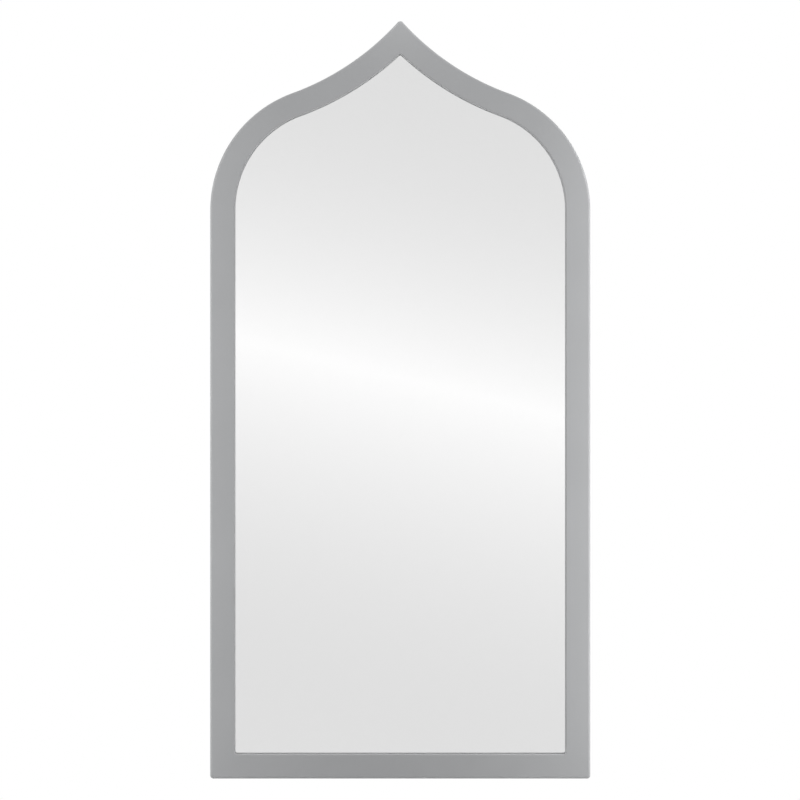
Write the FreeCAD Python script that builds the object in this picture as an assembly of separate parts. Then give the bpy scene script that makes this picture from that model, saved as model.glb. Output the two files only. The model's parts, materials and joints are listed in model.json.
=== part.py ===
import FreeCAD
import Part
import math
import os

# Arched wall mirror with a pointed ogee top and a flat painted frame, in millimetres.
# +Z is up, the glass faces -Y, and the wall is the plane y = 0 behind the mirror.
# The origin is on the wall, midway between the two hooks that carry the hanger rings.

# Outline of the frame's outer edge
OVERALL_WIDTH = 610.0
SIDE_HEIGHT = 912.0
ARCH_RISE = 306.2
SHOULDER_RADIUS = 200.0
OGEE_RADIUS = 425.0

# Section of the frame
FACE_WIDTH = 39.5
ARCH_LIFT_SHARE = 0.05
FRAME_THICKNESS = 15.0
OUTER_EDGE_RADIUS = 4.0
INNER_EDGE_RADIUS = 1.5
BACK_EDGE_RADIUS = 1.0
OUTER_CORNER_EASE = 1.2
OPENING_CORNER_RADIUS = 3.0
RABBET_CORNER_RADIUS = 5.0
LIP_OVERLAP = 10.0

# Pane, backing and the strips that centre the pane in the rabbet
GLASS_THICKNESS = 3.0
SILVER_THICKNESS = 0.15
LINER_THICKNESS = 2.0
BOARD_THICKNESS = 3.0
PANE_GAP = 1.5
SPACER_LENGTH = 30.0
SETTING_BLOCK_LENGTH = 45.0
SETTING_BLOCK_SHARE = 0.45
SIDE_SPACER_SHARES = (0.2, 0.8)

# Dowels across the five glued joints of the frame
DOWEL_DIAMETER = 6.0
DOWEL_LENGTH = 20.0
DOWEL_CHAMFER = 0.6
DOWEL_CLEARANCE = 0.1
DOWEL_END_GAP = 0.5
DOWEL_DEPTH_SHARE = 0.5
DOWEL_ZONE_SHARES = (0.45, 0.78)

# Pan-head wood screws
SCREW_SHANK_DIAMETER = 3.0
SCREW_LENGTH = 12.0
SCREW_TIP_LENGTH = 2.5
SCREW_TIP_DIAMETER = 0.6
SCREW_HEAD_DIAMETER = 7.0
SCREW_HEAD_HEIGHT = 2.2
SCREW_HEAD_ROUND = 1.2
SCREW_CROSS_LENGTH = 3.8
SCREW_CROSS_WIDTH = 0.9
SCREW_CROSS_DEPTH = 1.2
PILOT_CLEARANCE = 0.05
PILOT_END_GAP = 0.5
HEAD_GAP = 0.1

# Turn buttons that hold the backing board
BUTTON_PIVOT_RADIUS = 6.0
BUTTON_NOSE_RADIUS = 4.0
BUTTON_REACH = 14.0
BUTTON_THICKNESS = 1.6
BUTTON_EDGE_RADIUS = 0.5
BUTTON_SETBACK = 8.0
BUTTON_BORE_CLEARANCE = 0.15
BUTTON_GAP = 0.1
BUTTON_SWING_CLEARANCE = 25.0
BOTTOM_BUTTON_SHARE = 0.5
STILE_BUTTON_SHARES = (0.14, 0.57, 1.0)
SHOULDER_BUTTON_SHARE = 0.55
OGEE_BUTTON_SHARE = 0.5

# Strap hangers with swinging D-rings
HOOK_DROP = 42.0
RING_WIRE_DIAMETER = 3.0
RING_HALF_WIDTH = 10.0
RING_CORNER_RADIUS = 3.0
RING_SIDE_LENGTH = 1.0
RING_REST_GAP = 0.3
STRAP_THICKNESS = 1.2
STRAP_LENGTH = 44.0
STRAP_SIDE_CLEARANCE = 0.5
STRAP_HOLE_CLEARANCE = 0.5
STRAP_FIRST_SCREW = 20.0
STRAP_SCREW_SPACING = 16.0
LOOP_CLEARANCE = 0.25

# Rubber bumpers that hold the lower edge off the wall
BUMPER_BASE_RADIUS = 6.5
BUMPER_FACE_RADIUS = 5.5
BUMPER_EDGE_RADIUS = 0.8
BUMPER_SIDE_INSET = 60.0
HANGER_WALL_GAP = 0.5

# How far cutting solids run past what they cut, and how level a face is that counts as flat
OVERRUN = 5.0
PLANE_TOLERANCE = 0.001

Vector = FreeCAD.Vector
ORIGIN = Vector(0, 0, 0)
X_AXIS = Vector(1, 0, 0)
Y_AXIS = Vector(0, 1, 0)
SIDES = {"left": -1, "right": 1}

# Places that follow from the sizes above
half_width = OVERALL_WIDTH / 2
spring_z = HOOK_DROP
bottom_z = spring_z - SIDE_HEIGHT
shoulder_x = half_width - SHOULDER_RADIUS
outer_corner_radius = OUTER_EDGE_RADIUS + OUTER_CORNER_EASE

rabbet_inset = FACE_WIDTH - LIP_OVERLAP
rabbet_depth = GLASS_THICKNESS + SILVER_THICKNESS + LINER_THICKNESS + BOARD_THICKNESS
pane_inset = rabbet_inset + PANE_GAP
button_inset = rabbet_inset - BUTTON_SETBACK

ring_wire_radius = RING_WIRE_DIAMETER / 2
ring_length = RING_CORNER_RADIUS + RING_SIDE_LENGTH + RING_HALF_WIDTH
loop_bore_radius = ring_wire_radius + LOOP_CLEARANCE
loop_radius = loop_bore_radius + STRAP_THICKNESS
strap_width = 2 * (RING_HALF_WIDTH - RING_CORNER_RADIUS - STRAP_SIDE_CLEARANCE)
ring_lean = math.asin((loop_radius - ring_wire_radius - RING_REST_GAP) / ring_length)

bumper_thickness = 2 * loop_radius + HANGER_WALL_GAP
back_y = -bumper_thickness
front_y = back_y - FRAME_THICKNESS
pane_y = back_y - rabbet_depth
silver_y = pane_y + GLASS_THICKNESS
liner_y = silver_y + SILVER_THICKNESS
board_y = liner_y + LINER_THICKNESS

hanger_inset = rabbet_inset / 2
bar_y = back_y + loop_radius
bar_z = -(ring_length - ring_wire_radius) * math.cos(ring_lean)
strap_end_z = bar_z - STRAP_LENGTH


def ogee_centre():
    """Centre (x, z) of the right ogee arc, tangent to the shoulder arc and through the sharp apex."""
    to_apex_x = -shoulder_x
    span = math.hypot(to_apex_x, ARCH_RISE)
    reach = SHOULDER_RADIUS + OGEE_RADIUS
    along = (reach**2 - OGEE_RADIUS**2 + span**2) / (2 * span)
    across = math.sqrt(reach**2 - along**2)
    x = shoulder_x + (along * to_apex_x + across * ARCH_RISE) / span
    z = spring_z + (along * ARCH_RISE - across * to_apex_x) / span
    return x, z


ogee_x, ogee_z = ogee_centre()
shoulder_angle = math.atan2(ogee_z - spring_z, ogee_x - shoulder_x)


def arch_lift(inset):
    """How far the arch of an outline is raised above a parallel one, so that the face narrows over the top."""
    return inset * ARCH_LIFT_SHARE


def ogee_tip_angle(inset, corner_radius):
    """Angle at the right ogee centre of the point where the arc meets the rounded tip."""
    rise = math.sqrt((OGEE_RADIUS + inset + corner_radius) ** 2 - ogee_x**2)
    return math.atan2(-rise, -ogee_x)


def tip_z(inset):
    """Height of the sharp tip of the outline that is set in by inset."""
    return ogee_z + arch_lift(inset) - math.sqrt((OGEE_RADIUS + inset) ** 2 - ogee_x**2)


def on_shoulder(inset, angle):
    """Point (x, z) of the right shoulder arc that is set in by inset."""
    radius = SHOULDER_RADIUS - inset
    return shoulder_x + radius * math.cos(angle), spring_z + arch_lift(inset) + radius * math.sin(angle)


def on_ogee(inset, angle):
    """Point (x, z) of the right ogee arc that is set in by inset."""
    radius = OGEE_RADIUS + inset
    return ogee_x + radius * math.cos(angle), ogee_z + arch_lift(inset) + radius * math.sin(angle)


def line(start, end, y):
    """Straight edge between two (x, z) points in the plane y."""
    return Part.LineSegment(Vector(start[0], y, start[1]), Vector(end[0], y, end[1])).toShape()


def arc(start, middle, end, y):
    """Arc edge through three (x, z) points in the plane y."""
    points = [Vector(p[0], y, p[1]) for p in (start, middle, end)]
    return Part.Arc(*points).toShape()


def mirrored(point):
    """The (x, z) point on the other side of the middle."""
    return -point[0], point[1]


def arch_wire(inset, corner_radius, y):
    """Closed outline that follows the frame's outer edge at an inset, with its three corners rounded."""
    right = half_width - inset
    base = bottom_z + inset
    diagonal = corner_radius * (1 - math.cos(math.pi / 4))
    tip_angle = ogee_tip_angle(inset, corner_radius)
    join_angle = shoulder_angle - math.pi
    round_z = ogee_z + arch_lift(inset) + (OGEE_RADIUS + inset + corner_radius) * math.sin(tip_angle)

    foot = (right - corner_radius, base)
    corner = (right - diagonal, base + diagonal)
    side_low = (right, base + corner_radius)
    side_high = (right, spring_z + arch_lift(inset))
    shoulder_mid = on_shoulder(inset, shoulder_angle / 2)
    join = on_shoulder(inset, shoulder_angle)
    ogee_mid = on_ogee(inset, (join_angle + tip_angle) / 2)
    tip_side = on_ogee(inset, tip_angle)
    tip_top = (0, round_z + corner_radius)

    right_edges = [
        arc(foot, corner, side_low, y),
        line(side_low, side_high, y),
        arc(side_high, shoulder_mid, join, y),
        arc(join, ogee_mid, tip_side, y),
    ]
    left_edges = [
        arc(mirrored(tip_side), mirrored(ogee_mid), mirrored(join), y),
        arc(mirrored(join), mirrored(shoulder_mid), mirrored(side_high), y),
        line(mirrored(side_high), mirrored(side_low), y),
        arc(mirrored(side_low), mirrored(corner), mirrored(foot), y),
    ]
    tip = arc(tip_side, tip_top, mirrored(tip_side), y)
    bottom = line(mirrored(foot), foot, y)
    return Part.Wire([bottom, *right_edges, tip, *left_edges])


def arch_plate(inset, corner_radius, y, thickness):
    """Plate with the arch outline, from y towards the wall."""
    return Part.Face(arch_wire(inset, corner_radius, y)).extrude(Vector(0, thickness, 0))


def flat_plate(points, y, thickness):
    """Plate with straight edges through (x, z) points, from y towards the wall."""
    corners = [Vector(x, y, z) for x, z in points]
    return Part.Face(Part.makePolygon([*corners, corners[0]])).extrude(Vector(0, thickness, 0))


def face_at(shape, y):
    """The largest flat face of a shape in the plane y."""
    flat = [face for face in shape.Faces if face.BoundBox.YLength < PLANE_TOLERANCE]
    level = [face for face in flat if abs(face.CenterOfMass.y - y) < PLANE_TOLERANCE]
    return max(level, key=lambda face: face.Area)


def rounded(shape, y, radius, inner=False):
    """The shape with the outer or inner rim of its face at y rounded."""
    face = face_at(shape, y)
    rims = [w for w in face.Wires if w.isSame(face.OuterWire) != inner]
    return shape.makeFillet(radius, [edge for rim in rims for edge in rim.Edges])


def frame_ring():
    """The whole frame before it is parted at its joints: slab, opening, rounded edges and rabbet."""
    ring = arch_plate(0, outer_corner_radius, front_y, FRAME_THICKNESS)
    ring = ring.cut(
        arch_plate(FACE_WIDTH, OPENING_CORNER_RADIUS, front_y - OVERRUN, FRAME_THICKNESS + 2 * OVERRUN)
    )
    ring = rounded(ring, front_y, OUTER_EDGE_RADIUS)
    ring = rounded(ring, front_y, INNER_EDGE_RADIUS, inner=True)
    ring = rounded(ring, back_y, BACK_EDGE_RADIUS)
    return ring.cut(arch_plate(rabbet_inset, RABBET_CORNER_RADIUS, pane_y, rabbet_depth + OVERRUN))


def member_regions():
    """Plates that hold one frame member each: mitred at the bottom, square at the spring line and apex."""
    reach = half_width / 2
    out = half_width + OVERRUN
    low = bottom_z - OVERRUN
    top = tip_z(0) + OVERRUN
    inner_x = half_width - reach
    inner_z = bottom_z + reach
    outlines = {"bottom_rail": [(-out, low), (out, low), (inner_x, inner_z), (-inner_x, inner_z)]}
    for side, sign in SIDES.items():
        stile = [(out, low), (out, spring_z), (inner_x, spring_z), (inner_x, inner_z)]
        arch = [(0, spring_z), (out, spring_z), (out, top), (0, top)]
        outlines[f"{side}_stile"] = [(sign * x, z) for x, z in stile]
        outlines[f"{side}_arch"] = [(sign * x, z) for x, z in arch]
    return {
        name: flat_plate(points, front_y - OVERRUN, FRAME_THICKNESS + 2 * OVERRUN)
        for name, points in outlines.items()
    }


def peg(centre, direction, radius, length):
    """Cylinder centred on a point."""
    start = centre - direction * (length / 2)
    return Part.makeCylinder(radius, length, start, direction)


def dowel_joints():
    """For each glued joint, the dowels' centres and the direction that they run in."""
    depth_y = front_y + FRAME_THICKNESS * DOWEL_DEPTH_SHARE
    apex_zone = tip_z(0) - tip_z(rabbet_inset)
    joints = {}
    for side, sign in SIDES.items():
        insets = [rabbet_inset * share for share in DOWEL_ZONE_SHARES]
        mitre = [Vector(sign * (half_width - i), depth_y, bottom_z + i) for i in insets]
        spring = [Vector(sign * (half_width - i), depth_y, spring_z) for i in insets]
        joints[f"{side}_mitre_dowels"] = (mitre, Vector(sign, 0, 1).normalize())
        joints[f"{side}_spring_dowels"] = (spring, Vector(0, 0, 1))
    apex = [Vector(0, depth_y, tip_z(0) - apex_zone * share) for share in DOWEL_ZONE_SHARES]
    joints["apex_dowels"] = (apex, X_AXIS)
    return joints


def dowel(centre, direction):
    """Round dowel with chamfered ends."""
    pin = peg(centre, direction, DOWEL_DIAMETER / 2, DOWEL_LENGTH)
    rims = [edge for face in pin.Faces if face.Surface.TypeId == "Part::GeomPlane" for edge in face.Edges]
    return pin.makeChamfer(DOWEL_CHAMFER, rims)


def dowel_bore(centre, direction):
    """Clearance hole for one dowel, in both members of its joint."""
    radius = DOWEL_DIAMETER / 2 + DOWEL_CLEARANCE
    return peg(centre, direction, radius, DOWEL_LENGTH + 2 * DOWEL_END_GAP)


def wood_screw(x, z, seat_y):
    """Pan-head screw with a cross recess, driven from the back, its head seated at seat_y."""
    shank_radius = SCREW_SHANK_DIAMETER / 2
    straight = SCREW_LENGTH - SCREW_TIP_LENGTH
    head = Part.makeCylinder(SCREW_HEAD_DIAMETER / 2, SCREW_HEAD_HEIGHT, ORIGIN, Y_AXIS)
    head = rounded(head, SCREW_HEAD_HEIGHT, SCREW_HEAD_ROUND)
    shank = Part.makeCylinder(shank_radius, straight, ORIGIN, -Y_AXIS)
    tip = Part.makeCone(shank_radius, SCREW_TIP_DIAMETER / 2, SCREW_TIP_LENGTH, -Y_AXIS * straight, -Y_AXIS)
    screw = head.fuse([shank, tip]).removeSplitter()
    floor_y = SCREW_HEAD_HEIGHT - SCREW_CROSS_DEPTH
    for length, width in ((SCREW_CROSS_LENGTH, SCREW_CROSS_WIDTH), (SCREW_CROSS_WIDTH, SCREW_CROSS_LENGTH)):
        corner = Vector(-length / 2, floor_y, -width / 2)
        screw = screw.cut(Part.makeBox(length, SCREW_CROSS_DEPTH + OVERRUN, width, corner))
    screw.translate(Vector(x, seat_y, z))
    return screw


def pilot_bore(x, z, seat_y):
    """Hole in the frame's back for a screw whose head is seated at seat_y."""
    radius = SCREW_SHANK_DIAMETER / 2 + PILOT_CLEARANCE
    end_y = seat_y - SCREW_LENGTH - PILOT_END_GAP
    return Part.makeCylinder(radius, back_y + OVERRUN - end_y, Vector(x, end_y, z), Y_AXIS)


def button_stations():
    """Pivot (x, z) of each turn button and the angle that it points inwards, by name."""
    low_z = bottom_z + FACE_WIDTH
    high_z = strap_end_z - BUTTON_SWING_CLEARANCE
    tip_angle = ogee_tip_angle(button_inset, 0)
    join_angle = shoulder_angle - math.pi
    on_shoulder_angle = shoulder_angle * SHOULDER_BUTTON_SHARE
    on_ogee_angle = join_angle + (tip_angle - join_angle) * OGEE_BUTTON_SHARE
    right_side = {
        "bottom": ((half_width * BOTTOM_BUTTON_SHARE, bottom_z + button_inset), math.pi / 2),
        "shoulder": (on_shoulder(button_inset, on_shoulder_angle), on_shoulder_angle + math.pi),
        "ogee": (on_ogee(button_inset, on_ogee_angle), on_ogee_angle),
    }
    for level, share in zip(("low", "middle", "high"), STILE_BUTTON_SHARES):
        pivot = (half_width - button_inset, low_z + (high_z - low_z) * share)
        right_side[level] = (pivot, math.pi)
    stations = {}
    for place, (pivot, angle) in right_side.items():
        stations[f"right_{place}"] = (pivot, angle)
        stations[f"left_{place}"] = (mirrored(pivot), math.pi - angle)
    return stations


def turn_button(pivot, angle):
    """Tapered plate that turns on its screw and laps over the backing board."""
    tangent = math.acos((BUTTON_PIVOT_RADIUS - BUTTON_NOSE_RADIUS) / BUTTON_REACH)
    pivot_x = BUTTON_PIVOT_RADIUS * math.cos(tangent)
    pivot_z = BUTTON_PIVOT_RADIUS * math.sin(tangent)
    nose_x = BUTTON_REACH + BUTTON_NOSE_RADIUS * math.cos(tangent)
    nose_z = BUTTON_NOSE_RADIUS * math.sin(tangent)
    outline = Part.Wire(
        [
            line((pivot_x, pivot_z), (nose_x, nose_z), 0),
            arc((nose_x, nose_z), (BUTTON_REACH + BUTTON_NOSE_RADIUS, 0), (nose_x, -nose_z), 0),
            line((nose_x, -nose_z), (pivot_x, -pivot_z), 0),
            arc((pivot_x, -pivot_z), (-BUTTON_PIVOT_RADIUS, 0), (pivot_x, pivot_z), 0),
        ]
    )
    plate = Part.Face(outline).extrude(Vector(0, BUTTON_THICKNESS, 0))
    plate = rounded(plate, BUTTON_THICKNESS, BUTTON_EDGE_RADIUS)
    bore_radius = SCREW_SHANK_DIAMETER / 2 + BUTTON_BORE_CLEARANCE
    plate = plate.cut(peg(ORIGIN, Y_AXIS, bore_radius, 2 * (BUTTON_THICKNESS + OVERRUN)))
    plate.rotate(ORIGIN, Y_AXIS, -math.degrees(angle))
    plate.translate(Vector(pivot[0], back_y + BUTTON_GAP, pivot[1]))
    return plate


def strap_screw_heights():
    """Heights of the two screws through each hanger strap."""
    first = bar_z - STRAP_FIRST_SCREW
    return first, first - STRAP_SCREW_SPACING


def hanger_strap(x):
    """Steel strap folded double round the ring's bar, with two screw holes in its tail."""
    half_strap = strap_width / 2
    round_z = half_strap - STRAP_LENGTH
    tail_edges = [
        line((-half_strap, 0), (-half_strap, round_z), 0),
        arc((-half_strap, round_z), (0, -STRAP_LENGTH), (half_strap, round_z), 0),
        line((half_strap, round_z), (half_strap, 0), 0),
        line((half_strap, 0), (-half_strap, 0), 0),
    ]
    tail = Part.Face(Part.Wire(tail_edges)).extrude(Vector(0, 2 * STRAP_THICKNESS, 0))
    bar_centre = Vector(0, loop_radius, 0)
    strap = tail.fuse(peg(bar_centre, X_AXIS, loop_radius, strap_width)).removeSplitter()
    strap = strap.cut(peg(bar_centre, X_AXIS, loop_bore_radius, strap_width + 2 * OVERRUN))
    strap.translate(Vector(x, back_y, bar_z))
    hole_radius = SCREW_SHANK_DIAMETER / 2 + STRAP_HOLE_CLEARANCE
    for z in strap_screw_heights():
        strap = strap.cut(peg(Vector(x, back_y, z), Y_AXIS, hole_radius, 2 * (STRAP_THICKNESS + OVERRUN)))
    return strap


def hanger_ring(x):
    """D-ring of round wire on its bar, leaning on the frame's back, ready for a wall hook."""
    half_bar = RING_HALF_WIDTH - RING_CORNER_RADIUS
    eased = RING_CORNER_RADIUS * (1 - math.cos(math.pi / 4))
    side_top = RING_CORNER_RADIUS + RING_SIDE_LENGTH
    right_corner = ((half_bar, 0), (RING_HALF_WIDTH - eased, eased), (RING_HALF_WIDTH, RING_CORNER_RADIUS))
    left_corner = tuple(mirrored(p) for p in reversed(right_corner))
    path = Part.Wire(
        [
            line((0, 0), (half_bar, 0), 0),
            arc(*right_corner, 0),
            line((RING_HALF_WIDTH, RING_CORNER_RADIUS), (RING_HALF_WIDTH, side_top), 0),
            arc((RING_HALF_WIDTH, side_top), (0, ring_length), (-RING_HALF_WIDTH, side_top), 0),
            line((-RING_HALF_WIDTH, side_top), (-RING_HALF_WIDTH, RING_CORNER_RADIUS), 0),
            arc(*left_corner, 0),
            line((-half_bar, 0), (0, 0), 0),
        ]
    )
    section = Part.Wire(Part.makeCircle(ring_wire_radius, ORIGIN, X_AXIS))
    ring = path.makePipeShell([section], True, False)
    ring.rotate(ORIGIN, X_AXIS, math.degrees(ring_lean))
    ring.translate(Vector(x, bar_y, bar_z))
    return ring


def wall_bumper(x):
    """Tapered rubber foot between the bottom rail and the wall."""
    base = Vector(x, back_y, bottom_z + hanger_inset)
    foot = Part.makeCone(BUMPER_BASE_RADIUS, BUMPER_FACE_RADIUS, bumper_thickness, base, Y_AXIS)
    return rounded(foot, 0, BUMPER_EDGE_RADIUS)


def edge_spacers():
    """Thin strips between the pane's sides and the rabbet's walls."""
    wall_x = half_width - rabbet_inset
    strips = []
    for sign in SIDES.values():
        for share in SIDE_SPACER_SHARES:
            low_x = min(sign * wall_x, sign * (wall_x - PANE_GAP))
            corner = Vector(low_x, pane_y, bottom_z + SIDE_HEIGHT * share - SPACER_LENGTH / 2)
            strips.append(Part.makeBox(PANE_GAP, GLASS_THICKNESS, SPACER_LENGTH, corner))
    return strips


def setting_blocks():
    """Two strips under the pane that carry its weight on the bottom rail."""
    blocks = []
    for sign in SIDES.values():
        centre_x = sign * half_width * SETTING_BLOCK_SHARE
        corner = Vector(centre_x - SETTING_BLOCK_LENGTH / 2, pane_y, bottom_z + rabbet_inset)
        blocks.append(Part.makeBox(SETTING_BLOCK_LENGTH, GLASS_THICKNESS, PANE_GAP, corner))
    return blocks


def sheet_in_rabbet(y, thickness):
    """One sheet of the stack that lies in the rabbet."""
    return arch_plate(pane_inset, RABBET_CORNER_RADIUS, y, thickness)


def all_pieces():
    """Every node of the mirror, as a list of separate solids by name."""
    joints = dowel_joints()
    stations = button_stations()
    hanger_xs = {side: sign * (half_width - hanger_inset) for side, sign in SIDES.items()}
    button_seat_y = back_y + BUTTON_GAP + BUTTON_THICKNESS + HEAD_GAP
    strap_seat_y = back_y + 2 * STRAP_THICKNESS + HEAD_GAP
    button_screw_places = [(pivot[0], pivot[1], button_seat_y) for pivot, angle in stations.values()]
    strap_screw_places = [(x, z, strap_seat_y) for x in hanger_xs.values() for z in strap_screw_heights()]

    bores = [dowel_bore(centre, way) for centres, way in joints.values() for centre in centres]
    bores += [pilot_bore(*place) for place in button_screw_places + strap_screw_places]
    ring = frame_ring().cut(bores)

    pieces = {name: ring.common(region).Solids for name, region in member_regions().items()}
    for name, (centres, way) in joints.items():
        pieces[name] = [dowel(centre, way) for centre in centres]
    pieces["mirror_glass"] = [sheet_in_rabbet(pane_y, GLASS_THICKNESS)]
    pieces["silver_backing"] = [sheet_in_rabbet(silver_y, SILVER_THICKNESS)]
    pieces["card_liner"] = [sheet_in_rabbet(liner_y, LINER_THICKNESS)]
    pieces["backing_board"] = [sheet_in_rabbet(board_y, BOARD_THICKNESS)]
    pieces["edge_spacers"] = edge_spacers()
    pieces["setting_blocks"] = setting_blocks()
    for place, (pivot, angle) in stations.items():
        pieces[f"turn_button_{place}"] = [turn_button(pivot, angle)]
    pieces["turn_button_screws"] = [wood_screw(*place) for place in button_screw_places]
    for side, x in hanger_xs.items():
        pieces[f"{side}_hanger_strap"] = [hanger_strap(x)]
        pieces[f"{side}_hanger_ring"] = [hanger_ring(x)]
    pieces["hanger_screws"] = [wood_screw(*place) for place in strap_screw_places]
    bumper_x = half_width - BUMPER_SIDE_INSET
    pieces["wall_bumpers"] = [wall_bumper(sign * bumper_x) for sign in SIDES.values()]
    return pieces


os.makedirs("parts", exist_ok=True)
for name, solids in all_pieces().items():
    shape = solids[0] if len(solids) == 1 else Part.makeCompound(solids)
    shape.exportStep(f"parts/{name}.step")
    volume = sum(solid.Volume for solid in solids)
    print(f"{name}: {len(solids)} solid(s), {volume:.1f} mm3, valid {shape.isValid()}")
print(f"ring leans {math.degrees(ring_lean):.2f} deg, shoulder arc {math.degrees(shoulder_angle):.2f} deg")
print(f"back at y {back_y:.3f}, front at y {front_y:.3f}, bottom at z {bottom_z:.3f}, bar at z {bar_z:.3f}")
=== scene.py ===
"""Looks of a tall arched wall mirror: a painted frame, a silvered pane and the fittings on its back.

All lengths are in metres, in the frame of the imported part: +Z is up, the glass faces -Y
and the wall is y = 0.
"""

import json
import logging
import math
from dataclasses import dataclass
from enum import Enum

import bmesh
import bpy
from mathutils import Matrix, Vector


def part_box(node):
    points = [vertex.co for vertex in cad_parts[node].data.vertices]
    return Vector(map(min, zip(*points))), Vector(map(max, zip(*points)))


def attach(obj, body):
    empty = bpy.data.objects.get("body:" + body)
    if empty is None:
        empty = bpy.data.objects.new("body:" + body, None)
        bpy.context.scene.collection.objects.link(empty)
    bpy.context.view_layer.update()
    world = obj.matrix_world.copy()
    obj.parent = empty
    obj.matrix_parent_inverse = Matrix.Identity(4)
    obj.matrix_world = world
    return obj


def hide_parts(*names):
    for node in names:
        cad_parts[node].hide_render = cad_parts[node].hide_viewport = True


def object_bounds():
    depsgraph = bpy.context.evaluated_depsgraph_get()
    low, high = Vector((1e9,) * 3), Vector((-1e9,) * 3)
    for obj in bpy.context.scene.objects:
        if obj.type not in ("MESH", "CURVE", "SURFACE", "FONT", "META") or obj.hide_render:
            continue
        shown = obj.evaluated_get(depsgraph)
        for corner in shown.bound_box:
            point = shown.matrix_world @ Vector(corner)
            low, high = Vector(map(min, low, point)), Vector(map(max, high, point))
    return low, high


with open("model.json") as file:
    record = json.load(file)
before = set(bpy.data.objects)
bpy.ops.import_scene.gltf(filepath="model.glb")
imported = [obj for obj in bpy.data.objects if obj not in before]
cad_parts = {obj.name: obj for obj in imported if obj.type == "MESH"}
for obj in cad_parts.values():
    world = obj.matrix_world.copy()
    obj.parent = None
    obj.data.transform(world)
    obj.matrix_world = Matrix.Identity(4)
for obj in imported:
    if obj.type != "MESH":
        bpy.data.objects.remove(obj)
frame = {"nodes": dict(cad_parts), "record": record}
CAD_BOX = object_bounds()

LOG = logging.getLogger("arched_mirror")
MM = 0.001
IMAGE_PIXELS = 800

Colour = tuple[float, float, float]
Place = tuple[float, float, float]
FlatPoint = tuple[float, float]
Span = tuple[float, float]

# Where most values of a noise lie, and where nearly all of them do
NOISE_SPAN: Span = (0.3, 0.7)
WIDE_NOISE_SPAN: Span = (0.25, 0.75)

# Sockets of a Mix node that carry colours
MIX_COLOUR_INPUTS = (6, 7)
MIX_COLOUR_OUTPUT = 2


class Slot(Enum):
    """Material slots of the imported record."""

    FRAME_PAINT = "frame_paint"
    DOWEL_WOOD = "dowel_wood"
    PANE_GLASS = "pane_glass"
    SILVERING = "silvering"
    LINER_CARD = "liner_card"
    HARDBOARD = "hardboard"
    SPACER_PLASTIC = "spacer_plastic"
    ZINC_PLATE = "zinc_plate"
    BUMPER_RUBBER = "bumper_rubber"


class Member(Enum):
    """The five members that the frame is joined from, by CAD node."""

    BOTTOM_RAIL = "bottom_rail"
    LEFT_STILE = "left_stile"
    RIGHT_STILE = "right_stile"
    LEFT_ARCH = "left_arch"
    RIGHT_ARCH = "right_arch"


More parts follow.
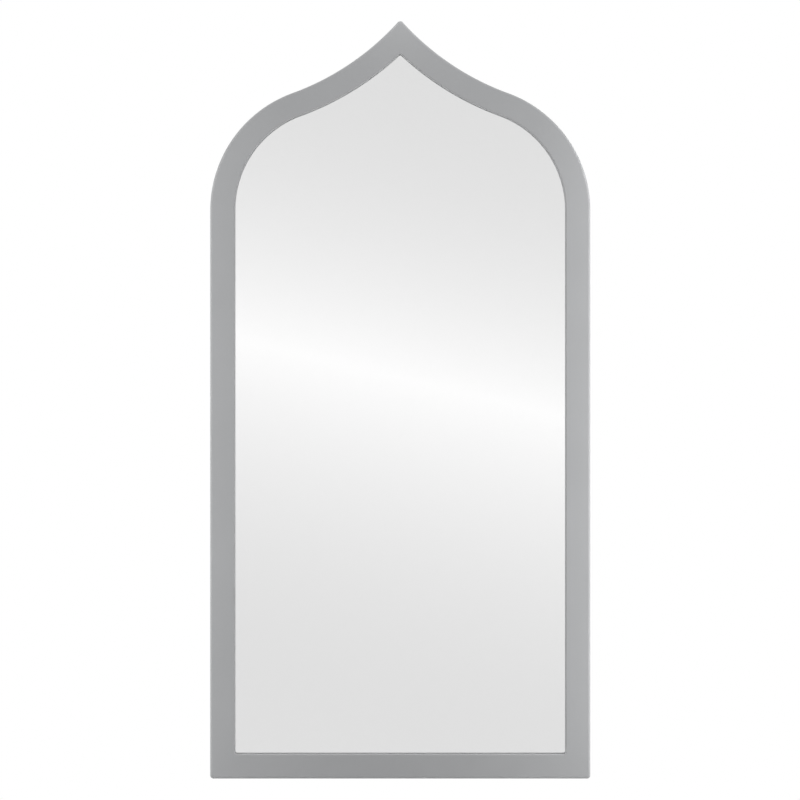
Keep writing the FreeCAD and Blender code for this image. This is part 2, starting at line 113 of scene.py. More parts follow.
class ShaderGraph:
    """A material's node tree, with a short method for each kind of node that the finishes use."""

    def __init__(self, name: str) -> None:
        """Start a material with a Principled shader that reads Object coordinates.

        Args:
            name: The finish's name.
        """
        self.material = bpy.data.materials.new(name)
        self.material.use_nodes = True
        self.tree = self.material.node_tree
        self.shader = self.tree.nodes["Principled BSDF"]
        self.coordinates = self.tree.nodes.new("ShaderNodeTexCoord").outputs["Object"]

    def constant(self, socket: str, value: float | Colour) -> None:
        """Set one of the shader's own sockets.

        Args:
            socket: The socket's name.
            value: A number, or a colour in linear light.
        """
        self.shader.inputs[socket].default_value = (*value, 1.0) if isinstance(value, tuple) else value

    def feed(self, socket: str, source: bpy.types.NodeSocket) -> None:
        """Link a node's output to one of the shader's sockets.

        Args:
            socket: The socket's name.
            source: The output.
        """
        self.tree.links.new(source, self.shader.inputs[socket])

    def stretched(self, scale: Place) -> bpy.types.NodeSocket:
        """Object coordinates drawn out by a scale for each axis.

        Args:
            scale: Factor along X, Y and Z.

        Returns:
            The scaled coordinates.
        """
        mapping = self.tree.nodes.new("ShaderNodeMapping")
        mapping.inputs["Scale"].default_value = scale
        self.tree.links.new(self.coordinates, mapping.inputs["Vector"])
        return mapping.outputs["Vector"]

    def noise(
        self, scale: float, detail: float = 2.0, where: bpy.types.NodeSocket | None = None
    ) -> bpy.types.NodeSocket:
        """Soft noise.

        Args:
            scale: Features to a metre.
            detail: Octaves of finer noise.
            where: Coordinates to read, or None for Object coordinates.

        Returns:
            The noise, about 0.5.
        """
        texture = self.tree.nodes.new("ShaderNodeTexNoise")
        texture.inputs["Scale"].default_value = scale
        texture.inputs["Detail"].default_value = detail
        self.tree.links.new(where or self.coordinates, texture.inputs["Vector"])
        return texture.outputs["Fac"]

    def waves(self, scale: float) -> bpy.types.NodeSocket:
        """Parallel sine bands across Z.

        Args:
            scale: Bands to a metre, roughly.

        Returns:
            The bands, from 0 to 1.
        """
        texture = self.tree.nodes.new("ShaderNodeTexWave")
        texture.bands_direction = "Z"
        texture.inputs["Scale"].default_value = scale
        self.tree.links.new(self.coordinates, texture.inputs["Vector"])
        return texture.outputs["Fac"]

    def attribute(self, name: str) -> bpy.types.NodeSocket:
        """A number that the mesh carries at each of its points.

        Args:
            name: The attribute's name.

        Returns:
            The number.
        """
        reader = self.tree.nodes.new("ShaderNodeAttribute")
        reader.attribute_name = name
        return reader.outputs["Fac"]

    def ranged(self, value: bpy.types.NodeSocket, source: Span, target: Span) -> bpy.types.NodeSocket:
        """Carry one range of numbers over to another, held at its ends.

        Args:
            value: The number to carry over.
            source: Its lowest and highest value.
            target: What these become.

        Returns:
            The new number.
        """
        node = self.tree.nodes.new("ShaderNodeMapRange")
        self.tree.links.new(value, node.inputs["Value"])
        node.inputs["From Min"].default_value, node.inputs["From Max"].default_value = source
        node.inputs["To Min"].default_value, node.inputs["To Max"].default_value = target
        return node.outputs["Result"]

    def summed(self, first: bpy.types.NodeSocket, second: bpy.types.NodeSocket) -> bpy.types.NodeSocket:
        """The sum of two numbers.

        Args:
            first: One number.
            second: The other number.

        Returns:
            The sum.
        """
        node = self.tree.nodes.new("ShaderNodeMath")
        node.operation = "ADD"
        self.tree.links.new(first, node.inputs[0])
        self.tree.links.new(second, node.inputs[1])
        return node.outputs["Value"]

    def tinted(
        self,
        factor: bpy.types.NodeSocket,
        first: Colour | bpy.types.NodeSocket,
        second: Colour | bpy.types.NodeSocket,
    ) -> bpy.types.NodeSocket:
        """A colour between two others.

        Args:
            factor: 0 gives the first colour and 1 the second.
            first: Colour, or the output of a node.
            second: Colour, or the output of a node.

        Returns:
            The mixed colour.
        """
        node = self.tree.nodes.new("ShaderNodeMix")
        node.data_type = "RGBA"
        self.tree.links.new(factor, node.inputs["Factor"])
        for index, colour in zip(MIX_COLOUR_INPUTS, (first, second)):
            socket = node.inputs[index]
            if isinstance(colour, tuple):
                socket.default_value = (*colour, 1.0)
            else:
                self.tree.links.new(colour, socket)
        return node.outputs[MIX_COLOUR_OUTPUT]

    def bumped(self, height: bpy.types.NodeSocket, distance: float) -> None:
        """Raise the surface by a height that runs from 0 to 1.

        Args:
            height: The height.
            distance: What a height of 1 stands for.
        """
        node = self.tree.nodes.new("ShaderNodeBump")
        node.inputs["Distance"].default_value = distance
        self.tree.links.new(height, node.inputs["Height"])
        self.feed("Normal", node.outputs["Normal"])


@dataclass(frozen=True)
class SilverPaint:
    """Satin silver lacquer with a fine flake, slow clouds of tone and a faint orange peel."""

    dark: Colour = (0.388, 0.393, 0.4)
    light: Colour = (0.428, 0.433, 0.441)
    metallic: float = 0.3
    gloss_range: Span = (0.38, 0.46)
    flake_scale: float = 2400.0
    flake_share: float = 0.45
    cloud_scale: float = 7.0
    haze_scale: float = 35.0
    peel_scale: float = 380.0
    peel_height: float = 0.02 * MM

    def tone(self, graph: ShaderGraph) -> bpy.types.NodeSocket:
        """The paint's colour, for this finish and for its mist on bare board.

        Args:
            graph: The material's nodes.

        Returns:
            The colour.
        """
        flake_span = (-self.flake_share, self.flake_share)
        flake = graph.ranged(graph.noise(self.flake_scale), NOISE_SPAN, flake_span)
        cloud = graph.noise(self.cloud_scale)
        return graph.tinted(graph.summed(flake, cloud), self.dark, self.light)

    def material(self) -> bpy.types.Material:
        """The finish as a material."""
        graph = ShaderGraph("satin_silver_paint")
        graph.feed("Base Color", self.tone(graph))
        graph.constant("Metallic", self.metallic)
        graph.feed("Roughness", graph.ranged(graph.noise(self.haze_scale), NOISE_SPAN, self.gloss_range))
        graph.bumped(graph.noise(self.peel_scale), self.peel_height)
        return graph.material


@dataclass(frozen=True)
class MistedBoard:
    """Bare fibreboard on the frame's back, with a mist of silver paint that thins out from the outer edge."""

    dark: Colour = (0.26, 0.17, 0.1)
    light: Colour = (0.38, 0.265, 0.165)
    fibre_scale: float = 900.0
    fibre_detail: float = 4.0
    patch_scale: float = 45.0
    patch_detail: float = 5.0
    patch_share: float = 0.3
    mist_reach: Span = (1.0 * MM, 13.0 * MM)
    mist_share: float = 0.95
    roughness: float = 0.75
    fibre_height: float = 0.05 * MM
    paint: SilverPaint = SilverPaint()

    def material(self) -> bpy.types.Material:
        """The finish as a material."""
        graph = ShaderGraph("misted_fibreboard")
        fibre = graph.noise(self.fibre_scale, self.fibre_detail)
        board = graph.tinted(graph.ranged(fibre, NOISE_SPAN, (0.0, 1.0)), self.dark, self.light)
        thinning = graph.ranged(graph.attribute("inset"), self.mist_reach, (self.mist_share, 0.0))
        patch = graph.noise(self.patch_scale, self.patch_detail)
        ragged = graph.ranged(patch, WIDE_NOISE_SPAN, (-self.patch_share, self.patch_share))
        graph.feed("Base Color", graph.tinted(graph.summed(thinning, ragged), board, self.paint.tone(graph)))
        graph.constant("Roughness", self.roughness)
        graph.bumped(fibre, self.fibre_height)
        return graph.material


@dataclass(frozen=True)
class Hardboard:
    """Smooth brown hardboard with short fibres and soft darker patches."""

    dark: Colour = (0.16, 0.09, 0.048)
    light: Colour = (0.3, 0.185, 0.105)
    fibre_scale: float = 260.0
    fibre_detail: float = 6.0
    fibre_stretch: Place = (1.0, 1.0, 3.0)
    patch_scale: float = 11.0
    patch_detail: float = 4.0
    patch_share: float = 0.25
    gloss_range: Span = (0.5, 0.68)
    fibre_height: float = 0.04 * MM

    def material(self) -> bpy.types.Material:
        """The finish as a material."""
        graph = ShaderGraph("brown_hardboard")
        fibre = graph.noise(self.fibre_scale, self.fibre_detail, graph.stretched(self.fibre_stretch))
        blotch = graph.noise(self.patch_scale, self.patch_detail)
        patch = graph.ranged(blotch, WIDE_NOISE_SPAN, (-self.patch_share, self.patch_share))
        graph.feed("Base Color", graph.tinted(graph.summed(fibre, patch), self.dark, self.light))
        graph.feed("Roughness", graph.ranged(fibre, NOISE_SPAN, self.gloss_range))
        graph.bumped(fibre, self.fibre_height)
        return graph.material


@dataclass(frozen=True)
class ZincPlate:
    """Bright zinc plate on pressed steel, with a fine brushed haze and slightly blue patches."""

    dark: Colour = (0.36, 0.38, 0.41)
    light: Colour = (0.55, 0.55, 0.54)
    patch_scale: float = 220.0
    brush_scale: float = 900.0
    brush_detail: float = 3.0
    brush_stretch: Place = (1.0, 1.0, 0.12)
    gloss_range: Span = (0.24, 0.42)
    brush_height: float = 0.01 * MM

    def material(self) -> bpy.types.Material:
        """The finish as a material."""
        graph = ShaderGraph("bright_zinc_plate")
        brush = graph.noise(self.brush_scale, self.brush_detail, graph.stretched(self.brush_stretch))
        graph.feed("Base Color", graph.tinted(graph.noise(self.patch_scale), self.dark, self.light))
        graph.constant("Metallic", 1.0)
        graph.feed("Roughness", graph.ranged(brush, NOISE_SPAN, self.gloss_range))
        graph.bumped(brush, self.brush_height)
        return graph.material


@dataclass(frozen=True)
class FloatGlass:
    """Clear polished float glass."""

    colour: Colour = (0.998, 1.0, 0.999)
    index: float = 1.52

    def material(self) -> bpy.types.Material:
        """The finish as a material."""
        graph = ShaderGraph("clear_float_glass")
        graph.constant("Base Color", self.colour)
        graph.constant("Roughness", 0.0)
        graph.constant("IOR", self.index)
        graph.constant("Transmission Weight", 1.0)
        return graph.material


@dataclass(frozen=True)
class Silvering:
    """Silver coat behind the glass, with the barest drift of tone."""

    dark: Colour = (0.996, 0.992, 0.994)
    light: Colour = (1.0, 0.996, 0.998)
    drift_scale: float = 3.0

    def material(self) -> bpy.types.Material:
        """The finish as a material."""
        graph = ShaderGraph("mirror_silvering")
        graph.feed("Base Color", graph.tinted(graph.noise(self.drift_scale), self.dark, self.light))
        graph.constant("Metallic", 1.0)
        graph.constant("Roughness", 0.0)
        return graph.material


@dataclass(frozen=True)
class LinerCard:
    """Brown card with fine flutes."""

    dark: Colour = (0.38, 0.26, 0.15)
    light: Colour = (0.5, 0.36, 0.22)
    fibre_scale: float = 300.0
    fibre_detail: float = 4.0
    flute_scale: float = 120.0
    flute_height: float = 0.1 * MM
    roughness: float = 0.9

    def material(self) -> bpy.types.Material:
        """The finish as a material."""
        graph = ShaderGraph("fluted_card")
        fibre = graph.noise(self.fibre_scale, self.fibre_detail)
        graph.feed("Base Color", graph.tinted(fibre, self.dark, self.light))
        graph.constant("Roughness", self.roughness)
        graph.bumped(graph.waves(self.flute_scale), self.flute_height)
        return graph.material


@dataclass(frozen=True)
class BeechDowel:
    """Plain beech with short flecks."""

    dark: Colour = (0.5, 0.33, 0.18)
    light: Colour = (0.68, 0.5, 0.31)
    fleck_scale: float = 500.0
    fleck_detail: float = 4.0
    fleck_height: float = 0.05 * MM
    roughness: float = 0.6

    def material(self) -> bpy.types.Material:
        """The finish as a material."""
        graph = ShaderGraph("plain_beech")
        fleck = graph.noise(self.fleck_scale, self.fleck_detail)
        graph.feed("Base Color", graph.tinted(fleck, self.dark, self.light))
        graph.constant("Roughness", self.roughness)
        graph.bumped(fleck, self.fleck_height)
        return graph.material


@dataclass(frozen=True)
class DarkPolymer:
    """Moulded black plastic or rubber with a fine pebble."""

    name: str
    dark: Colour
    light: Colour
    roughness: float
    pebble_scale: float = 1500.0
    pebble_height: float = 0.04 * MM

    def material(self) -> bpy.types.Material:
        """The finish as a material."""
        graph = ShaderGraph(self.name)
        pebble = graph.noise(self.pebble_scale)
        graph.feed("Base Color", graph.tinted(pebble, self.dark, self.light))
        graph.constant("Roughness", self.roughness)
        graph.bumped(pebble, self.pebble_height)
        return graph.material


def dress(node: str, finish: bpy.types.Material) -> None:
    """Give a CAD node a finish in place of its plain one.

    Args:
        node: The node's name.
        finish: The material that it gets.
    """
    mesh = frame["nodes"][node].data
    mesh.materials.clear()
    mesh.materials.append(finish)
    LOG.info("dressed %s in %s", node, finish.name)


def select_only(item: bpy.types.Object) -> None:
    """Select one object, and make it the active one.

    Args:
        item: The object.
    """
    bpy.ops.object.select_all(action="DESELECT")
    item.select_set(True)
    bpy.context.view_layer.objects.active = item


@dataclass(frozen=True)
class ArchOutline:
    """The frame's outer edge: level bottom, upright sides, round shoulders and hollow arcs up to a point."""

    half_width: float
    bottom: float
    spring: float
    rise: float = 306.2 * MM
    shoulder_radius: float = 200.0 * MM
    ogee_radius: float = 425.0 * MM
    lift_share: float = 0.05
    bottom_steps: int = 12
    corner_steps: int = 8
    side_steps: int = 24
    shoulder_steps: int = 56
    ogee_steps: int = 30
    tip_steps: int = 5

    @property
    def shoulder_centre(self) -> FlatPoint:
        """Centre (x, z) of the right shoulder arc."""
        return self.half_width - self.shoulder_radius, self.spring

    @property
    def ogee_centre(self) -> FlatPoint:
        """Centre (x, z) of the right hollow arc, tangent to the shoulder and through the sharp apex."""
        x, z = self.shoulder_centre
        span = math.hypot(x, self.rise)
        reach = self.shoulder_radius + self.ogee_radius
        along = (reach**2 - self.ogee_radius**2 + span**2) / (2 * span)
        across = math.sqrt(reach**2 - along**2)
        return x + (across * self.rise - along * x) / span, z + (along * self.rise + across * x) / span

    @staticmethod
    def run(start: FlatPoint, end: FlatPoint, steps: int) -> list[FlatPoint]:
        """Even points along a straight run, without its start.

        Args:
            start: Where the run starts.
            end: Where it ends.
            steps: How many points it has.

        Returns:
            The points.
        """
        shares = [(step + 1) / steps for step in range(steps)]
        return [(start[0] + (end[0] - start[0]) * t, start[1] + (end[1] - start[1]) * t) for t in shares]

    @staticmethod
    def sweep(
        centre: FlatPoint, radius: float, start: float, end: float, steps: int
    ) -> list[FlatPoint]:
        """Even points along an arc, without its start.

        Args:
            centre: The arc's centre.
            radius: Its radius.
            start: Angle at which it starts.
            end: Angle at which it ends.
            steps: How many points it has.

        Returns:
            The points.
        """
        angles = [start + (end - start) * (step + 1) / steps for step in range(steps)]
        return [(centre[0] + radius * math.cos(a), centre[1] + radius * math.sin(a)) for a in angles]

    def loop(self, inset: float, corner: float) -> list[FlatPoint]:
        """Closed outline that follows the outer edge at an inset.

        It has the same number of points at any inset. The arch rises by a share of the inset, so that the
        face narrows a little over the top.

        Args:
            inset: Distance in from the outer edge.
            corner: Radius of the two bottom corners and of the tip.

        Returns:
            Points (x, z), from the middle of the bottom round by the right side.
        """
        right, base = self.half_width - inset, self.bottom + inset
        lift = inset * self.lift_share
        shoulder, ogee = ((x, z + lift) for x, z in (self.shoulder_centre, self.ogee_centre))
        turn = math.atan2(ogee[1] - shoulder[1], ogee[0] - shoulder[0])
        tip_reach = self.ogee_radius + inset + corner
        tip_angle = math.atan2(-math.sqrt(tip_reach**2 - ogee[0] ** 2), -ogee[0])
        tip_centre = (0.0, ogee[1] + tip_reach * math.sin(tip_angle))
        quarter = math.pi / 2
        half = [
            (0.0, base),
            *self.run((0.0, base), (right - corner, base), self.bottom_steps),
            *self.sweep((right - corner, base + corner), corner, -quarter, 0.0, self.corner_steps),
            *self.run((right, base + corner), (right, shoulder[1]), self.side_steps),
            *self.sweep(shoulder, self.shoulder_radius - inset, 0.0, turn, self.shoulder_steps),
            *self.sweep(ogee, self.ogee_radius + inset, turn - math.pi, tip_angle, self.ogee_steps),
            *self.sweep(tip_centre, corner, tip_angle + math.pi, quarter, self.tip_steps),
        ]
        return half + [(-x, z) for x, z in reversed(half[1:-1])]


@dataclass(frozen=True)
class SectionPoint:
    """One point of the frame's section, and the corner radius that the outline has there."""

    inset: float
    depth: float
    corner: float


@dataclass(frozen=True)
class LoopModeller:
    """Draws a mesh loop by loop along the arch outline, each loop at one point of a section."""

    outline: ArchOutline
    front: float

    def start(self, point: SectionPoint, fill: str) -> bpy.types.Object:
        """Start a mesh with one loop, a circle shaped to the outline, and leave it in edit mode.

        Args:
            point: The section's first point.
            fill: Fill type of the circle.

        Returns:
            The mesh's object, with its loop selected.
        """
        count = len(self.outline.loop(point.inset, point.corner))
        bpy.ops.object.select_all(action="DESELECT")
        bpy.ops.mesh.primitive_circle_add(vertices=count, radius=self.outline.half_width, fill_type=fill)
        item = bpy.context.object
        item.data.attributes.new("station", "INT", "POINT").data.foreach_set("value", range(count))
        item.data.attributes.new("inset", "FLOAT", "POINT")
        bpy.ops.object.mode_set(mode="EDIT")
        bpy.ops.mesh.select_mode(type="EDGE")
        bpy.ops.mesh.select_all(action="SELECT")
        self.move(item, point)
        return item

    def move(self, item: bpy.types.Object, point: SectionPoint) -> None:
        """Put the selected loop at one point of the section.

        Args:
            item: The mesh's object, in edit mode.
            point: The section's point.
        """
        loop = self.outline.loop(point.inset, point.corner)
        mesh = bmesh.from_edit_mesh(item.data)
        station = mesh.verts.layers.int["station"]
        inset = mesh.verts.layers.float["inset"]
        for vertex in mesh.verts:
            if vertex.select:
                x, z = loop[vertex[station]]
                vertex.co = (x, self.front + point.depth, z)
                vertex[inset] = point.inset
        bmesh.update_edit_mesh(item.data)

    def finish(self, item: bpy.types.Object, weld: float = 0.001 * MM) -> None:
        """Weld the mesh, turn its faces outwards and leave edit mode.

        Args:
            item: The mesh's object, in edit mode.
            weld: Points closer than this become one.
        """
        bpy.ops.mesh.select_all(action="SELECT")
        bpy.ops.mesh.remove_doubles(threshold=weld)
        bpy.ops.mesh.normals_make_consistent(inside=False)
        bpy.ops.object.mode_set(mode="OBJECT")
        item.data.attributes.remove(item.data.attributes["station"])


@dataclass(frozen=True)
class FrameSection:
    """The frame's section: a rounded face, a lip in front of the pane and a rabbet behind the lip."""

    thickness: float
    lip: float
    pane_inset: float
    pane_gap: float = 1.5 * MM
    lip_overlap: float = 10.0 * MM
    outer_round: float = 4.0 * MM
    inner_round: float = 1.5 * MM
    back_round: float = 1.0 * MM
    outer_corner: float = 5.2 * MM
    opening_corner: float = 3.0 * MM
    rabbet_corner: float = 5.0 * MM
    shoulder_line: float = 0.3 * MM
    outer_steps: int = 10
    inner_steps: int = 5
    back_steps: int = 3

    @property
    def rabbet_inset(self) -> float:
        """Inset of the rabbet's wall, a small gap outside the pane."""
        return self.pane_inset - self.pane_gap

    @property
    def face_width(self) -> float:
        """Width of the face, out to where the lip ends over the pane."""
        return self.rabbet_inset + self.lip_overlap

    @staticmethod
    def quarter(
        inset: float, depth: float, radius: float, start: float, steps: int
    ) -> list[FlatPoint]:
        """Points of one rounded edge, a quarter circle.

        Args:
            inset: Inset of the circle's centre.
            depth: Depth of the circle's centre.
            radius: The circle's radius.
            start: Angle at which it starts.
            steps: How many steps it has.

        Returns:
            Points (inset, depth), both ends included.
        """
        angles = [start + math.pi / 2 * step / steps for step in range(steps + 1)]
        return [(inset + radius * math.cos(a), depth + radius * math.sin(a)) for a in angles]

    def points(self) -> list[SectionPoint]:
        """The whole section, from its back edge round by the face and the lip to the rabbet."""
        side, face, wall = self.thickness - self.back_round, self.outer_round, self.face_width
        lead = self.shoulder_line
        back = self.quarter(self.back_round, side, self.back_round, math.pi / 2, self.back_steps)
        outer = self.quarter(face, face, face, math.pi, self.outer_steps)
        inset, easing = wall - self.inner_round, self.inner_round
        inner = self.quarter(inset, easing, easing, 1.5 * math.pi, self.inner_steps)
        outside = [*back, (0.0, side - lead), (0.0, face + lead), *outer, (face + lead, 0.0)]
        inside = [(inset - lead, 0.0), *inner, (wall, easing + lead), (wall, self.lip)]
        rabbet = [(self.rabbet_inset, self.lip), (self.rabbet_inset, self.thickness)]
        return [
            *(SectionPoint(i, d, max(self.outer_corner - i, lead)) for i, d in outside),
            *(SectionPoint(i, d, self.opening_corner + wall - i) for i, d in inside),
            *(SectionPoint(i, d, self.rabbet_corner) for i, d in rabbet),
        ]


@dataclass(frozen=True)
class PaintedFrame:
    """The frame, drawn round its section as one ring and then parted at its joints into five members."""

    outline: ArchOutline
    section: FrameSection
    front: float
    smooth_angle: float = math.radians(30.0)
    back_facing: float = 0.5

    @classmethod
    def from_cad(cls, glass_clearance: float = 0.05 * MM) -> "PaintedFrame":
        """Take the frame's places from the CAD nodes.

        Args:
            glass_clearance: How far the lip stays off the glass.

        Returns:
            The frame.
        """
        rail_low, rail_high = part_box(Member.BOTTOM_RAIL.value)
        stile_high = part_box(Member.RIGHT_STILE.value)[1]
        pane_low, pane_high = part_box("mirror_glass")
        outline = ArchOutline(half_width=stile_high.x, bottom=rail_low.z, spring=stile_high.z)
        section = FrameSection(
            thickness=rail_high.y - rail_low.y,
            lip=pane_low.y - rail_low.y - glass_clearance,
            pane_inset=stile_high.x - pane_high.x,
        )
        return cls(outline, section, front=rail_low.y)

    def ring(self) -> bpy.types.Object:
        """Model the whole frame: a loop on its outline, extruded round the section.

        Returns:
            The frame in one piece.
        """
        modeller = LoopModeller(self.outline, self.front)
        first, *others = self.section.points()
        ring = modeller.start(first, "NOTHING")
        for point in [*others, first]:
            bpy.ops.mesh.extrude_edges_move()
            modeller.move(ring, point)
        modeller.finish(ring)
        return ring

    def cuts(self, member: Member) -> list[tuple[Place, Place]]:
        """Planes that part one member from the ring.

        Args:
            member: The member.

        Returns:
            A point and a normal for each plane. The member is on the side that the normal points to.
        """
        half, bottom, spring = self.outline.half_width, self.outline.bottom, self.outline.spring
        if member is Member.BOTTOM_RAIL:
            return [((half, 0, bottom), (-1, 0, -1)), ((-half, 0, bottom), (1, 0, -1))]
        sign = 1 if member in (Member.RIGHT_STILE, Member.RIGHT_ARCH) else -1
        middle = ((0, 0, 0), (sign, 0, 0))
        if member in (Member.LEFT_ARCH, Member.RIGHT_ARCH):
            return [middle, ((0, 0, spring), (0, 0, 1))]
        return [middle, ((0, 0, spring), (0, 0, -1)), ((sign * half, 0, bottom), (sign, 0, 1))]

    def part(self, ring: bpy.types.Object, member: Member) -> bpy.types.Object:
        """Cut one member out of a copy of the ring.

        Args:
            ring: The frame in one piece.
            member: The member.

        Returns:
            The member, closed at its joints.
        """
        piece = ring.copy()
        piece.data = ring.data.copy()
        piece.name = piece.data.name = f"painted_{member.value}"
        bpy.context.collection.objects.link(piece)
        select_only(piece)
        bpy.ops.object.mode_set(mode="EDIT")
        for place, normal in self.cuts(member):
            bpy.ops.mesh.select_all(action="SELECT")
            bpy.ops.mesh.bisect(plane_co=place, plane_no=normal, use_fill=True, clear_inner=True)
        bpy.ops.mesh.select_all(action="SELECT")
        bpy.ops.mesh.normals_make_consistent(inside=False)
        bpy.ops.object.mode_set(mode="OBJECT")
        bpy.ops.object.shade_smooth_by_angle(angle=self.smooth_angle)
        return piece

    def is_bare(self, piece: bpy.types.Object, face: bpy.types.MeshPolygon) -> bool:
        """Whether a face is on the frame's back or is the rabbet's wall, where the board is bare.

        Args:
            piece: The member.
            face: One of its faces.

        Returns:
            True where no paint was sprayed.
        """
        lip_back = self.front + self.section.lip
        if face.normal.y > self.back_facing:
            return face.center.y > lip_back + self.section.back_round
        insets = piece.data.attributes["inset"].data
        return all(math.isclose(insets[v].value, self.section.rabbet_inset) for v in face.vertices)

    def build(self, paint: bpy.types.Material, bare: bpy.types.Material) -> None:
        """Model the five members, dress them and let them stand for the CAD members.

        Args:
            paint: Finish of the face and sides.
            bare: Finish of the back and the rabbet.
        """
        ring = self.ring()
        for member in Member:
            piece = self.part(ring, member)
            piece.data.materials.append(paint)
            piece.data.materials.append(bare)
            for face in piece.data.polygons:
                face.material_index = int(self.is_bare(piece, face))
            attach(piece, "frame")
            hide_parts(member.value)
            LOG.info("built %s with %d faces", piece.name, len(piece.data.polygons))
        bpy.data.objects.remove(ring)


@dataclass(frozen=True)
class SilverFilm:
    """The pane's silver coat, a hair's breadth off the glass so that light meets the two one by one."""

    modeller: LoopModeller
    inset: float
    thickness: float
    corner: float = 5.0 * MM

    @classmethod
    def from_cad(cls, outline: ArchOutline, glass_clearance: float = 0.03 * MM) -> "SilverFilm":
        """Take the coat's place from its CAD node.

        Args:
            outline: The frame's outer edge.
            glass_clearance: How far the coat stays off the glass.

        Returns:
            The coat.
        """
        low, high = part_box("silver_backing")
        front = low.y + glass_clearance
        return cls(LoopModeller(outline, front), inset=outline.half_width - high.x, thickness=high.y - front)

    def build(self, finish: bpy.types.Material) -> None:
        """Model the coat as a filled loop, extruded to its thickness.

        Args:
            finish: The coat's finish.
        """
        film = self.modeller.start(SectionPoint(self.inset, 0.0, self.corner), "NGON")
        bpy.ops.mesh.extrude_region_move()
        self.modeller.move(film, SectionPoint(self.inset, self.thickness, self.corner))
        self.modeller.finish(film)
        film.name = film.data.name = "silver_film"
        film.data.materials.append(finish)
        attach(film, "frame")
        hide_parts("silver_backing")
        LOG.info("built %s", film.name)


@dataclass(frozen=True)
class Fittings:
    """The pane, its packing, the back and the hardware, which keep their CAD shapes."""

    glass: FloatGlass = FloatGlass()
    card: LinerCard = LinerCard()
    board: Hardboard = Hardboard()
    zinc: ZincPlate = ZincPlate()
    beech: BeechDowel = BeechDowel()
    plastic: DarkPolymer = DarkPolymer(
        "black_plastic", dark=(0.03, 0.03, 0.03), light=(0.05, 0.05, 0.05), roughness=0.5
    )
    rubber: DarkPolymer = DarkPolymer(
        "black_rubber", dark=(0.02, 0.02, 0.021), light=(0.04, 0.04, 0.041), roughness=0.7
    )

    def build(self) -> None:
        """Dress every CAD node by the record's slot for it."""
        finishes = {
            Slot.PANE_GLASS: self.glass.material(),
            Slot.LINER_CARD: self.card.material(),
            Slot.HARDBOARD: self.board.material(),
            Slot.ZINC_PLATE: self.zinc.material(),
            Slot.DOWEL_WOOD: self.beech.material(),
            Slot.SPACER_PLASTIC: self.plastic.material(),
            Slot.BUMPER_RUBBER: self.rubber.material(),
        }
        for subpart in frame["record"]["subparts"]:
            slot = Slot(subpart["material_slot"])
            if slot in finishes:
                dress(subpart["node"], finishes[slot])


@dataclass(frozen=True)
class Softbox:
    """A soft rectangular lamp that no camera, mirror or gloss sees."""

    name: str
    place: Place
    aim: Place
    width: float
    height: float
    power: float

    def build(self) -> None:
        """Hang the lamp and point it at its aim."""
        light = bpy.data.lights.new(self.name, "AREA")
        light.shape = "RECTANGLE"
        light.size, light.size_y, light.energy = self.width, self.height, self.power
        lamp = bpy.data.objects.new(self.name, light)
        lamp.location = self.place
        lamp.rotation_euler = (Vector(self.aim) - Vector(self.place)).to_track_quat("-Z", "Y").to_euler()
        lamp.visible_camera = lamp.visible_glossy = lamp.visible_transmission = False
        bpy.context.collection.objects.link(lamp)
        LOG.info("hung %s", self.name)


class WorldGraph:
    """The world's node tree, with short methods for the sums that its light needs."""

    def __init__(self) -> None:
        """Start a world with one background."""
        world = bpy.data.worlds.new("studio")
        world.use_nodes = True
        bpy.context.scene.world = world
        self.tree = world.node_tree
        self.background = self.tree.nodes["Background"]
        self.rays = self.tree.nodes.new("ShaderNodeLightPath").outputs
        self.direction = self.tree.nodes.new("ShaderNodeTexCoord").outputs["Generated"]

    def calculate(self, operation: str, *values: float | bpy.types.NodeSocket) -> bpy.types.NodeSocket:
        """One step of arithmetic.

        Args:
            operation: A Math node's operation.
            values: Numbers, or outputs of other nodes.

        Returns:
            The result.
        """
        node = self.tree.nodes.new("ShaderNodeMath")
        node.operation = operation
        for socket, value in zip(node.inputs, values):
            if isinstance(value, bpy.types.NodeSocket):
                self.tree.links.new(value, socket)
            else:
                socket.default_value = value
        return node.outputs["Value"]

    def along(self, axis: Place) -> bpy.types.NodeSocket:
        """How far the ray's direction reaches along an axis.

        Args:
            axis: The axis, of any length.

        Returns:
            Their dot product.
        """
        node = self.tree.nodes.new("ShaderNodeVectorMath")
        node.operation = "DOT_PRODUCT"
        self.tree.links.new(self.direction, node.inputs[0])
        node.inputs[1].default_value = axis
        return node.outputs["Value"]

    def choose(
        self,
        factor: bpy.types.NodeSocket,
        if_zero: float | bpy.types.NodeSocket,
        if_one: float | bpy.types.NodeSocket,
    ) -> bpy.types.NodeSocket:
        """One number where the factor is 0, and another where it is 1.

        Args:
            factor: What decides between the two.
            if_zero: Number where the factor is 0.
            if_one: Number where the factor is 1.

        Returns:
            The chosen number.
        """
        unseen = self.calculate("MULTIPLY", self.calculate("SUBTRACT", 1.0, factor), if_zero)
        return self.calculate("ADD", unseen, self.calculate("MULTIPLY", factor, if_one))


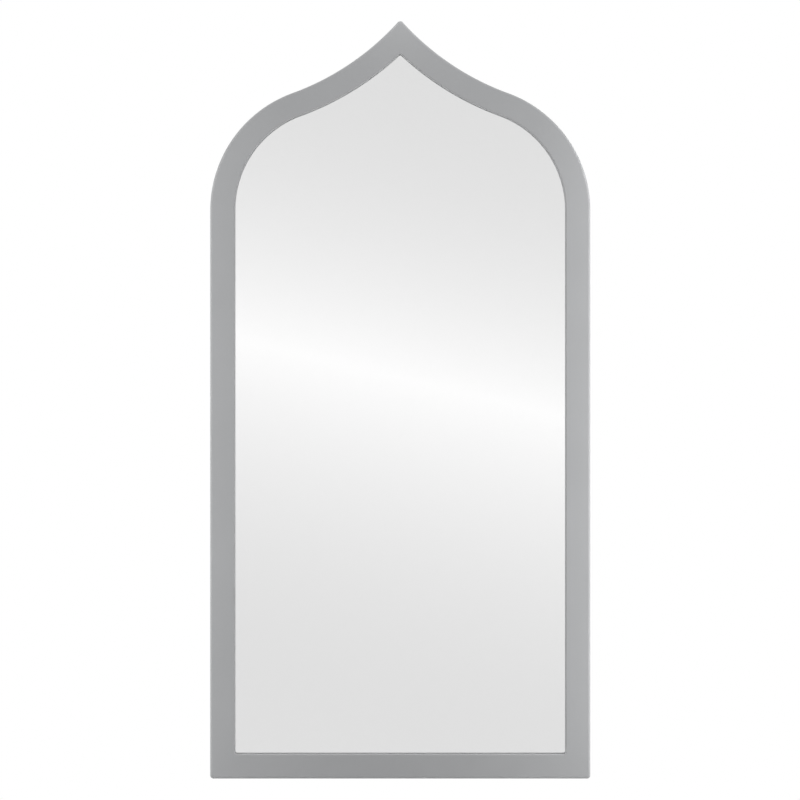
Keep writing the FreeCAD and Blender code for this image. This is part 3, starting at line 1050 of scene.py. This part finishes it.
@dataclass(frozen=True)
class Surroundings:
    """Light from all round: white to the camera, even on matt surfaces, a slanting glow in mirrors."""

    ambient: float = 0.35
    glow_low: float = 0.75
    glow_rise: float = 0.25
    glow_slope: float = 0.2371
    glow_offset: float = 0.0114
    reach_above: float = 0.166
    reach_below: float = 0.19
    glow_power: float = 2.0

    def build(self) -> None:
        """Set up the world's light."""
        graph = WorldGraph()
        across = graph.along((self.glow_slope, self.glow_offset, 1.0))
        above = graph.calculate("DIVIDE", graph.calculate("MAXIMUM", across, 0.0), self.reach_above)
        below = graph.calculate("DIVIDE", graph.calculate("MINIMUM", across, 0.0), -self.reach_below)
        nearness = graph.calculate("SUBTRACT", 1.0, graph.calculate("ADD", above, below))
        fade = graph.calculate("POWER", graph.calculate("MAXIMUM", nearness, 0.0), self.glow_power)
        glow = graph.calculate("MULTIPLY_ADD", fade, self.glow_rise, self.glow_low)
        shiny = graph.calculate("MAXIMUM", graph.rays["Is Glossy Ray"], graph.rays["Is Transmission Ray"])
        strength = graph.choose(graph.rays["Is Camera Ray"], graph.choose(shiny, self.ambient, glow), 1.0)
        graph.tree.links.new(strength, graph.background.inputs["Strength"])
        graph.background.inputs["Color"].default_value = (1.0, 1.0, 1.0, 1.0)


@dataclass(frozen=True)
class Floor:
    """A pale floor below the hanging mirror, which fades to white towards its rim."""

    drop: float = 0.55
    radius: float = 1.75
    fade_from: float = 0.9
    sides: int = 96
    colour: Colour = (0.86, 0.86, 0.86)
    roughness: float = 0.9
    mirrored_rim: float = Surroundings.glow_low

    def material(self) -> bpy.types.Material:
        """A matt floor that takes shadows in the middle, and at its rim is as pale as what lies behind it."""
        graph = ShaderGraph("pale_floor")
        tree = graph.tree
        graph.constant("Base Color", self.colour)
        graph.constant("Roughness", self.roughness)
        reach = tree.nodes.new("ShaderNodeVectorMath")
        reach.operation = "LENGTH"
        tree.links.new(graph.coordinates, reach.inputs[0])
        rim = graph.ranged(reach.outputs["Value"], (self.fade_from, self.radius), (0.0, 1.0))
        rays = tree.nodes.new("ShaderNodeLightPath").outputs
        shiny = graph.summed(rays["Is Glossy Ray"], rays["Is Transmission Ray"])
        seen = graph.summed(rays["Is Camera Ray"], shiny)
        share = tree.nodes.new("ShaderNodeMath")
        share.operation = "MULTIPLY"
        tree.links.new(rim, share.inputs[0])
        tree.links.new(seen, share.inputs[1])
        white = tree.nodes.new("ShaderNodeEmission")
        pale = graph.ranged(rays["Is Camera Ray"], (0.0, 1.0), (self.mirrored_rim, 1.0))
        tree.links.new(pale, white.inputs["Strength"])
        mix = tree.nodes.new("ShaderNodeMixShader")
        tree.links.new(share.outputs["Value"], mix.inputs["Fac"])
        tree.links.new(graph.shader.outputs["BSDF"], mix.inputs[1])
        tree.links.new(white.outputs["Emission"], mix.inputs[2])
        tree.links.new(mix.outputs["Shader"], tree.nodes["Material Output"].inputs["Surface"])
        graph.material.cycles.emission_sampling = "NONE"
        return graph.material

    def build(self) -> None:
        """Lay the floor."""
        low = CAD_BOX[0]
        bpy.ops.object.select_all(action="DESELECT")
        bpy.ops.mesh.primitive_circle_add(
            vertices=self.sides, radius=self.radius, fill_type="NGON", location=(0, 0, low.z - self.drop)
        )
        floor = bpy.context.object
        floor.name = "studio_floor"
        floor.data.materials.append(self.material())
        LOG.info("laid %s", floor.name)


@dataclass(frozen=True)
class PhotoCamera:
    """Camera straight in front of the mirror, level with its middle."""

    distance: float = 3.0
    view_width: float = 1282.3 * MM
    shift_right: float = -0.24
    shift_down: float = 0.17
    sensor: float = 36.0

    def build(self) -> None:
        """Place the camera and make it the scene's own."""
        low, high = CAD_BOX
        pixel = self.view_width / IMAGE_PIXELS
        data = bpy.data.cameras.new("photo_camera")
        data.sensor_width = self.sensor
        data.lens = self.sensor * self.distance / self.view_width
        camera = bpy.data.objects.new("photo_camera", data)
        middle = (low.z + high.z) / 2
        camera.location = (self.shift_right * pixel, low.y - self.distance, middle - self.shift_down * pixel)
        camera.rotation_euler = (math.pi / 2, 0.0, 0.0)
        bpy.context.collection.objects.link(camera)
        bpy.context.scene.camera = camera
        LOG.info("placed %s with a lens of %.1f mm", camera.name, data.lens)


@dataclass(frozen=True)
class Studio:
    """Camera, floor, lamps and the light from all round."""

    camera: PhotoCamera = PhotoCamera()
    floor: Floor = Floor()
    surroundings: Surroundings = Surroundings()
    lamps: tuple[Softbox, ...] = (
        Softbox(
            "right_strip", place=(0.6, -0.185, -0.31), aim=(0.0, -0.185, -0.31),
            width=0.08, height=1.32, power=5.4,
        ),
        Softbox(
            "left_strip", place=(-0.6, -0.185, -0.31), aim=(0.0, -0.185, -0.31),
            width=0.08, height=1.32, power=3.4,
        ),
        Softbox(
            "tip_box", place=(0.0, -0.125, 0.45), aim=(0.0, -0.025, 0.3),
            width=0.15, height=0.06, power=0.092,
        ),
        Softbox(
            "overhead_box", place=(0.0, -0.35, 1.3), aim=(0.0, -0.1, 0.0),
            width=0.6, height=0.2, power=8.0,
        ),
        Softbox(
            "back_box", place=(0.6, 2.2, 1.0), aim=(0.0, 0.0, -0.26),
            width=1.6, height=1.6, power=40.0,
        ),
    )

    def build(self) -> None:
        """Set up the studio, with colours as they are and sharp light off the mirror on the frame."""
        bpy.context.scene.view_settings.view_transform = "Standard"
        bpy.context.scene.cycles.blur_glossy = 0.0
        self.camera.build()
        self.floor.build()
        self.surroundings.build()
        for lamp in self.lamps:
            lamp.build()


def main() -> None:
    """Build the mirror's looks and the studio, in order."""
    logging.basicConfig(level=logging.INFO, format="%(name)s: %(message)s")
    paint = SilverPaint()
    painted_frame = PaintedFrame.from_cad()
    painted_frame.build(paint.material(), MistedBoard(paint=paint).material())
    SilverFilm.from_cad(painted_frame.outline).build(Silvering().material())
    Fittings().build()
    Studio().build()


if __name__ == "__main__":
    main()
